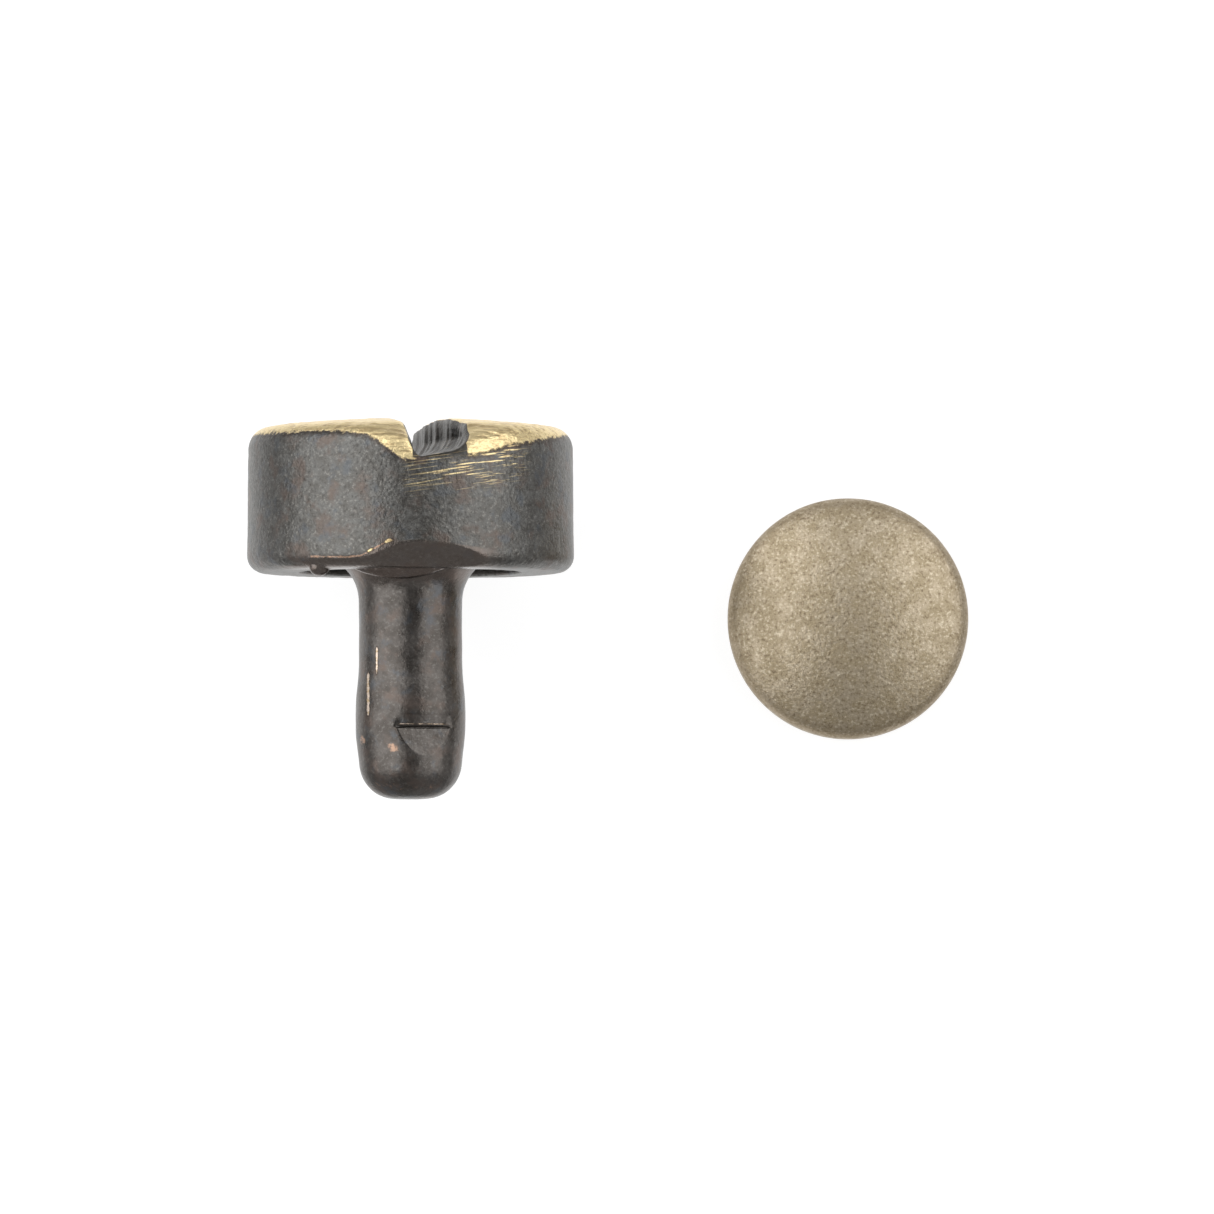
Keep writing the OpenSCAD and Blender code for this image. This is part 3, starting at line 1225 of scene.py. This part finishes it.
    def post_profile(self) -> tuple[Profile, Profile]:
        """Sections of the drawn post, from its foot down to the closed end.

        Returns:
            The outer and the inner section.
        """
        flare_r = self.waist_r + self.root_r
        foot_low = self.root_r - self.root_drop
        foot_r = flare_r + self.foot_rim
        swell_low = -self.post_len + self.swell_up
        swell_top = swell_low + self.swell_len
        waist_low = swell_top + self.neck_len
        tip_start, tip_z = self.swell_r - self.tip_inset, -self.post_len + self.tip_r

        def face(wall: float) -> Profile:
            """Run of the face that lies one wall inside the outer one, from the flare to the closed end."""
            return (
                arc((flare_r, -self.root_drop), self.root_r + wall, 0, -90)
                + ease((self.waist_r - wall, waist_low), (self.swell_r - wall, swell_top))
                + ease((self.swell_r - wall, swell_low), (tip_start - wall, tip_z))
                + arc((tip_start - self.tip_r, tip_z), self.tip_r - wall, 90, 180)
                + [(0.0, -self.post_len + wall)]
            )

        foot = [(foot_r, foot_low + self.post_wall), (foot_r, foot_low), (flare_r, foot_low)]
        outer = divided(foot, 0.035) + softened(divided(face(0.0), 0.02), 200)[1:]
        return outer, divided(face(self.post_wall), 0.15)

    def shape_post(self) -> Workpiece:
        """Turn the post and press the notch into it.

        Returns:
            The shaped post.
        """
        outer, inner = self.post_profile()
        steps = self.post_steps
        verts, faces = revolved(outer, steps, closed=False)
        inner_verts, inner_faces = revolved(inner, steps, closed=False)
        first = len(verts)
        faces += [tuple(first + i for i in reversed(f)) for f in inner_faces]
        faces += [(i, (i + 1) % steps, first + (i + 1) % steps, first + i) for i in range(steps)]
        post = Workpiece("post", np.vstack((verts, inner_verts)), faces)
        at = post.points
        outside = np.zeros(len(at))
        outside[:first] = 1.0
        at = self.pressed_notch(at, outside)
        post.points = at
        skin = 0.006 * layered_noise(at, 0.8, 31) + 0.0025 * layered_noise(at, 0.2, 32)
        post.pushed(skin * outside * soft_step(-at[:, 2], -0.3, 0.3))
        return post

    def below_ledge(self, at: np.ndarray) -> np.ndarray:
        """Distance of points below the notch's ledge."""
        return -self.post_len + self.swell_up + self.notch_up - at[:, 2]

    def notch_face(self, below: np.ndarray) -> np.ndarray:
        """Distance of the notch's flat from the axis at places below the ledge."""
        slope = math.tan(math.radians(self.notch_lean))
        return self.swell_r - self.notch_depth + np.maximum(below, 0) * slope

    def notch_span(self, across: np.ndarray) -> np.ndarray:
        """Share from 0 to 1 by which points lie between the two ends of the strip and the slit."""
        return 1 - soft_step(np.abs(across), *self.notch_ends)

    def pressed_notch(self, at: np.ndarray, outside: np.ndarray) -> np.ndarray:
        """Flatten the front of the swelled end below the notch, and press in the strip and slit over it.

        Args:
            at: Points of the post.
            outside: 1 for points of the outer face.

        Returns:
            The moved points.
        """
        turn = about_axis(self.notch_turn)
        moved = at @ turn
        below = self.below_ledge(moved)
        face = self.notch_face(below)
        front = outside * (moved[:, 1] < 0)
        inside = soft_step(below, -0.01, 0.035) * front
        moved[:, 1] = np.where(-moved[:, 1] > face, moved[:, 1] + (-face - moved[:, 1]) * inside, moved[:, 1])
        strip = np.clip(1 + below / self.strip_w, 0, 1) * (below < 0)
        pressed = self.strip_depth * strip + self.slit_depth * bell(below, 0.015, 0.018)
        moved[:, 1] += self.notch_span(moved[:, 0]) * front * pressed
        return moved @ turn.T

    def notch_highlight(self, at: np.ndarray) -> np.ndarray:
        """Find the edges over the notch's slit and beside its flat, where highlights are painted.

        Args:
            at: Points of the post.

        Returns:
            Share from 0 to 1 by which each lies on them.
        """
        turned = at @ about_axis(self.notch_turn)
        below = self.below_ledge(at)
        lip = bell(below, -0.07, 0.03) * self.notch_span(turned[:, 0])
        beside = bell(self.notch_face(below) + turned[:, 1], 0.03, 0.025) * bell(below, 0.2, 0.2)
        return (lip + 0.8 * beside * (turned[:, 0] < 0)) * (at[:, 1] < 0)

    def mark_post(self, post: Workpiece) -> None:
        """Store where the post's finish is worn and rubbed, where highlights are painted on it, and where
        shade is painted.

        Args:
            post: The shaped post.
        """
        at = post.points
        side, above = self.seen(at)
        front = soft_step(above, 0.2, 0.8)
        down = -at[:, 2]
        # Two long strokes on the left side, part rubbed metal and part painted highlight.
        lines = bell(side, -1.22, 0.055) * within(down, (2.6, 3.1), (4.0, 4.4))
        lines += bell(side, -0.97, 0.045) * within(down, (2.0, 2.3), (2.8, 3.2))
        # Bright strokes with painted highlights, and painted highlights on the notch's edges.
        post.marked("worn", (0.72 * lines + 0.56 * self.notch_highlight(at)) * front)
        post.marked("streaked", np.zeros(len(at)))
        # Coppery spots near the closed end.
        spots = bell(side, -1.38, 0.16) * bell(down, 4.85, 0.25)
        spots += bell(side, -0.5, 0.3) * bell(down, 5.1, 0.3) + 0.7 * bell(down, 6.2, 0.3)
        post.marked("rubbed", 0.6 * spots)
        below = self.below_ledge(at)
        span = self.notch_span((at @ about_axis(self.notch_turn))[:, 0]) * front
        # Painted shade in the slit and along the top of the strip.
        slit = (0.8 * bell(below, 0.015, 0.02) + 0.35 * bell(below, -self.strip_w, 0.03)) * span
        post.marked("soldered", 0.8 * soft_step(at[:, 2], -0.5, -0.1) * front)
        # Painted shade on the post's foot inside the recess and in the slit.
        post.marked("painted_shade", np.maximum(soft_step(at[:, 2], -0.05, 0.3), slit))

    # ---- solder ----

    def shape_solder(self) -> Workpiece:
        """Soften the plain solid of the solder into a run with a rounded skin.

        Returns:
            The shaped run.
        """
        source = frame["nodes"]["solder_fillet"].data
        back = self.places.lay_stud().inverted() @ Matrix.Scale(1 / MM, 4)
        verts = np.array([back @ v.co for v in source.vertices])
        solder = Workpiece("solder", verts, [tuple(p.vertices) for p in source.polygons])
        solder.remeshed(self.solder_voxel)
        solder.relaxed(10)
        solder.pushed(0.03 + 0.01 * layered_noise(solder.points, 0.5, 41))
        solder.relaxed(4)
        return solder

    @staticmethod
    def mark_solder(solder: Workpiece) -> None:
        """Store that the run is solder all over, with a little rubbed metal.

        Args:
            solder: The shaped run.
        """
        shares = {"worn": 0.0, "streaked": 0.0, "painted_shade": 0.0, "rubbed": 0.2, "soldered": 1.0}
        for mark, share in shares.items():
            solder.marked(mark, np.full(len(solder.points), share))

    def build(self, effects: SharedEffects) -> None:
        """Shape and dress the three pieces of the stud.

        Args:
            effects: The shared node groups.
        """
        head = self.shape_head()
        self.mark_head(head)
        post = self.shape_post()
        self.mark_post(post)
        solder = self.shape_solder()
        self.mark_solder(solder)
        # The post's bright tone is pale pink, the tone of the highlights painted on its strokes and notch
        # edges.
        post_brass = OxidisedBrass(
            "post_brass", dark=(0.098, 0.088, 0.080), light=(0.150, 0.137, 0.127), bright=(0.85, 0.70, 0.58),
            patina_rough=0.30, grain=0.014, cloud_scale=1.8, speck_share=0.3,
        )
        solder_skin = OxidisedBrass("solder_skin", dark=(0.11, 0.092, 0.082), light=(0.16, 0.135, 0.122))
        parts = (
            ("slotted_head", head, OxidisedBrass("oxidised_brass"), "oxidised_brass"),
            ("rivet_post", post, post_brass, "dark_post_brass"),
            ("solder_fillet", solder, solder_skin, "dark_solder"),
        )
        place = self.places.lay_stud()
        for node, work, finish, slot in parts:
            self.pieces[node] = dressed(work, node, place, Body.STUD, finish, effects)


# --------------------------------------------------------------------------------------
# The cap
# --------------------------------------------------------------------------------------


@dataclass
class Cap:
    """The domed cap: a thin shell rolled over the edge of an eyelet.

    Sizes are in millimetres in the cap's upright frame, with its mouth at height 0.

    Attributes:
        places: Where the parts lie.
        radius: Radius of the cap.
        height: Height of the cap.
        shell_t: Wall of the shell.
        wall_h: Height at which the upright wall meets the shoulder.
        shoulder_r: Rounding of the shoulder.
        roll_r: Rounding of the rolled edge.
        lip_w: Width of the edge that is rolled in under the eyelet.
        eyelet_t: Wall of the eyelet.
        bend_in: Inner radius of the bend between its plate and its collar.
        collar_head: Room left between collar and dome.
        bore_r: Radius of the collar's bore.
        eyelet_gap: Room left between eyelet and shell.
        segments: Divisions round the axis.
        pieces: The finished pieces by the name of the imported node.
    """

    places: Places
    radius: float = 3.5
    height: float = 2.1
    shell_t: float = 0.28
    wall_h: float = 0.75
    shoulder_r: float = 0.55
    roll_r: float = 0.25
    lip_w: float = 0.7
    eyelet_t: float = 0.22
    bend_in: float = 0.08
    collar_head: float = 0.3
    bore_r: float = 1.55
    eyelet_gap: float = 0.02
    segments: int = 256
    pieces: dict[str, bpy.types.Object] = field(default_factory=dict)

    @property
    def shoulder_c(self) -> float:
        """Radius at which the shoulder's arc is centred."""
        return self.radius - self.shoulder_r

    @property
    def dome_end(self) -> float:
        """Angle at which the dome meets the shoulder, in degrees."""
        rise = self.height - self.wall_h - self.shoulder_r
        return 2 * math.degrees(math.atan(rise / self.shoulder_c))

    @property
    def dome_r(self) -> float:
        """Radius of the dome."""
        return self.shoulder_r + self.shoulder_c / math.sin(math.radians(self.dome_end))

    def shape_shell(self) -> Workpiece:
        """Turn the shell.

        Returns:
            The shaped shell.
        """
        end, dome_c = self.dome_end, self.height - self.dome_r
        lip_r = self.radius - self.lip_w
        outer = (
            arc((0.0, dome_c), self.dome_r, 0, end, 48)
            + arc((self.shoulder_c, self.wall_h), self.shoulder_r, end, 90)
            + arc((self.radius - self.roll_r, self.roll_r), self.roll_r, 90, 180)
            + arc((lip_r + self.shell_t / 2, self.shell_t / 2), self.shell_t / 2, 180, 360)
            + arc((self.shoulder_c, self.wall_h), self.shoulder_r - self.shell_t, 90, end)
            + arc((0.0, dome_c), self.dome_r - self.shell_t, end, 0, 32)
        )
        verts, faces = revolved(divided(outer, 0.06), self.segments, closed=False)
        shell = Workpiece("shell", verts, faces)
        at = shell.points
        shell.pushed(0.006 * layered_noise(at, 1.6, 51, 2) * soft_step(at[:, 2], 0.3, 0.8))
        at = shell.points
        out = np.hypot(at[:, 0], at[:, 1])
        # Painted shade that darkens the shell towards its rim.
        shell.marked("painted_shade", soft_step(out, 2.9, 3.5) * 0.8)
        return shell

    def shape_eyelet(self) -> Workpiece:
        """Turn the eyelet.

        Returns:
            The shaped eyelet.
        """
        skirt_r = self.radius - self.shell_t - self.eyelet_gap
        skirt_top = self.wall_h - self.shell_t
        bend = self.eyelet_t + self.bend_in
        collar_r = self.bore_r + self.eyelet_t
        inner = self.dome_r - self.shell_t
        top = self.height - self.dome_r + math.sqrt(inner**2 - collar_r**2) - self.collar_head - self.shell_t
        half = self.eyelet_t / 2
        section = (
            arc((skirt_r - self.eyelet_t, self.eyelet_t), self.eyelet_t, 90, 180)
            + arc((self.bore_r + bend, bend), bend, 180, 270)
            + arc((self.bore_r + half, top - half), half, -90, 90)
            + arc((self.bore_r + bend, bend), self.bend_in, 270, 180)
            + [(skirt_r - self.eyelet_t, self.eyelet_t), (skirt_r - self.eyelet_t, skirt_top)]
            + [(skirt_r, skirt_top)]
        )
        section = [(r, z + self.shell_t) for r, z in section]
        verts, faces = revolved(divided(section + section[:1], 0.08)[:-1], self.segments, closed=True)
        eyelet = Workpiece("eyelet", verts, faces)
        eyelet.marked("painted_shade", np.zeros(len(eyelet.points)))
        return eyelet

    def build(self, effects: SharedEffects) -> None:
        """Shape and dress the two pieces of the cap.

        Args:
            effects: The shared node groups.
        """
        eyelet_brass = AntiqueBrass(
            "eyelet_brass", dark=(0.45, 0.34, 0.20), light=(0.55, 0.43, 0.26), rough=0.35
        )
        parts = (
            ("cap_shell", self.shape_shell(), AntiqueBrass("antique_brass"), "antique_brass"),
            ("cap_eyelet", self.shape_eyelet(), eyelet_brass, "eyelet_brass"),
        )
        place = self.places.stand_cap()
        for node, work, finish, slot in parts:
            self.pieces[node] = dressed(work, node, place, Body.CAP, finish, effects)


# --------------------------------------------------------------------------------------
# Bench, light and camera
# --------------------------------------------------------------------------------------


@dataclass(frozen=True)
class SoftLight:
    """A wide soft light that hangs beside the object and faces it.

    Attributes:
        name: The light's name.
        side: 1 for the +X side, -1 for the -X side.
        low: Angle of its upper edge from straight up, in degrees.
        high: Angle of its lower edge from straight up, in degrees.
        radiance: How bright its face looks.
        far: Distance from the object, in metres.
        long: Length along Y, in metres.
        back: How far it is moved along Y, as a share of its distance.
    """

    name: str
    side: int
    low: float
    high: float
    radiance: float
    far: float = 0.4
    long: float = 0.7
    back: float = 0.3

    def hang(self) -> None:
        """Make the light and put it in its place."""
        zenith = math.radians((self.low + self.high) / 2)
        width = 2 * self.far * math.tan(math.radians((self.high - self.low) / 2))
        lamp = bpy.data.lights.new(self.name, "AREA")
        lamp.shape = "RECTANGLE"
        lamp.size = width
        lamp.size_y = self.long
        lamp.energy = self.radiance * 4 * width * self.long
        holder = bpy.data.objects.new(self.name, lamp)
        bpy.context.scene.collection.objects.link(holder)
        holder.location = self.far * Vector((self.side * math.sin(zenith), self.back, math.cos(zenith)))
        holder.rotation_euler = (0.0, self.side * zenith, 0.0)
        holder.visible_camera = False


@dataclass
class Studio:
    """Pale bench, two soft lights at the sides, dim surroundings, and the camera overhead.

    Attributes:
        places: Where the parts lie.
        view_w: Width of the view at the height of the stud's axis, in millimetres.
        distance: Distance of the camera, in millimetres.
        tilt: Lean of the view towards the post's end, in degrees.
        aim: Where the camera looks along X and Y, in millimetres.
        bench_half: Half the bench's width, in metres.
        bench_light: Brightness of the bench in the camera.
        pool: Distances at which the bench's light on the metal starts and stops falling off.
        pool_x: Middle of that light along X, in millimetres.
        pool_behind: How much faster it falls off behind the object than beside it.
        pool_ahead: How much faster it falls off ahead of the object than beside it.
        pool_light: Brightness of the bench in the metal, far off and close by.
        surround: Brightness of the even surroundings.
        behind: Brightness added to them behind the object.
        ahead: Brightness added to them ahead of the object.
        backdrop: Brightness of the surroundings in the camera.
        lights: The soft lights.
    """

    places: Places
    view_w: float = 35.12
    distance: float = 800.0
    tilt: float = 2.2
    aim: tuple[float, float] = (-0.046, 0.063)
    bench_half: float = 0.6
    bench_light: float = 0.84
    pool: tuple[float, float] = (14.0, 20.0)
    pool_x: float = -3.0
    pool_behind: float = 1.1
    pool_ahead: float = 2.0
    pool_light: tuple[float, float] = (0.10, 0.8)
    surround: float = 0.17
    behind: float = 0.52
    ahead: float = 0.16
    backdrop: float = 0.93
    lights: tuple[SoftLight, ...] = (
        SoftLight("soft_left", -1, 18, 88, 1.1),
        SoftLight("soft_right", 1, 24, 80, 0.9),
    )

    def bench(self) -> None:
        """Lay the bench, lit from below, whose light the metal sees mostly close by."""
        half = self.bench_half
        corners = [(-half, -half, 0), (half, -half, 0), (half, half, 0), (-half, half, 0)]
        mesh = bpy.data.meshes.new("bench")
        mesh.from_pydata(corners, [], [(0, 1, 2, 3)])
        bench = bpy.data.objects.new("bench", mesh)
        bpy.context.scene.collection.objects.link(bench)
        material = bpy.data.materials.new("bench_white")
        material.use_nodes = True
        shader = material.node_tree.nodes["Principled BSDF"]
        shader.inputs["Base Color"].default_value = (0.3, 0.3, 0.3, 1)
        shader.inputs["Roughness"].default_value = 0.9
        shader.inputs["Specular IOR Level"].default_value = 0.0
        shader.inputs["Emission Color"].default_value = (1, 1, 1, 1)
        sheet = NodeSheet(material.node_tree)
        reflected = sheet.mix_value(self.near_object(sheet), *self.pool_light)
        looked_at = sheet.add("ShaderNodeLightPath").outputs["Is Camera Ray"]
        strength = sheet.mix_value(looked_at, reflected, self.bench_light)
        sheet.tree.links.new(strength, shader.inputs["Emission Strength"])
        mesh.materials.append(material)

    def near_object(self, sheet: NodeSheet) -> bpy.types.NodeSocket:
        """Find the part of the bench that lies close to the object.

        Args:
            sheet: The bench material's sheet.

        Returns:
            A mask, 1 close by and 0 far off.
        """
        place = sheet.add("ShaderNodeSeparateXYZ", {0: sheet.millimetres()}).outputs
        across = sheet.maths("SUBTRACT", place["X"], self.pool_x)
        behind = sheet.maths("MULTIPLY", place["Y"], self.pool_behind)
        along = sheet.maths("MAXIMUM", behind, sheet.maths("MULTIPLY", place["Y"], -self.pool_ahead))
        squared = sheet.maths("MULTIPLY_ADD", across, across, sheet.maths("MULTIPLY", along, along))
        return sheet.maths("SUBTRACT", 1.0, sheet.ramp(sheet.maths("SQRT", squared), *self.pool))

    def surroundings(self) -> None:
        """Dim even surroundings, paler behind and ahead of the bench, with a pale backdrop."""
        world = bpy.data.worlds.new("studio")
        bpy.context.scene.world = world
        world.use_nodes = True
        sheet = NodeSheet(world.node_tree)
        back = world.node_tree.nodes["Background"]
        looked_at = sheet.add("ShaderNodeLightPath").outputs["Is Camera Ray"]
        direction = sheet.add("ShaderNodeTexCoord").outputs["Generated"]
        along = sheet.add("ShaderNodeSeparateXYZ", {0: direction}).outputs
        behind = sheet.maths("MULTIPLY", sheet.ramp(along["Y"], 0.15, 0.6), sheet.ramp(along["Z"], 0.0, 0.15))
        ahead = sheet.maths("MULTIPLY", sheet.ramp(along["Y"], -0.1, -0.6), sheet.ramp(along["Z"], -0.3, 0.1))
        level = sheet.maths("MULTIPLY_ADD", behind, self.behind, self.surround)
        level = sheet.maths("MULTIPLY_ADD", ahead, self.ahead, level)
        strength = sheet.mix_value(looked_at, level, self.backdrop)
        back.inputs["Color"].default_value = (1, 1, 1, 1)
        sheet.tree.links.new(strength, back.inputs["Strength"])

    def camera(self) -> None:
        """Set the camera overhead, leaning a little towards the post's end."""
        data = bpy.data.cameras.new("overhead")
        data.sensor_width = 36.0
        data.lens = data.sensor_width * self.distance / self.view_w
        data.clip_start = 0.01
        data.clip_end = 5.0
        camera = bpy.data.objects.new("overhead", data)
        bpy.context.scene.collection.objects.link(camera)
        tilt = math.radians(self.tilt)
        away = Vector((0.0, -math.sin(tilt), math.cos(tilt)))
        aim = Vector((*self.aim, self.places.stud_axis.z))
        camera.location = (aim + away * self.distance) * MM
        camera.rotation_euler = (tilt, 0.0, 0.0)
        bpy.context.scene.camera = camera

    def build(self) -> None:
        """Set everything up."""
        self.bench()
        for light in self.lights:
            light.hang()
        self.surroundings()
        self.camera()
        bpy.context.scene.view_settings.view_transform = "Standard"


def main() -> None:
    """Build the studio, the stud and the cap."""
    logging.basicConfig(level=logging.INFO, format="%(name)s: %(message)s")
    places = Places.from_frame()
    Studio(places).build()
    effects = SharedEffects()
    for assembly in (Stud(places), Cap(places)):
        assembly.build(effects)
        LOG.info("%s built from %d pieces", type(assembly).__name__, len(assembly.pieces))


if __name__ == "__main__":
    main()
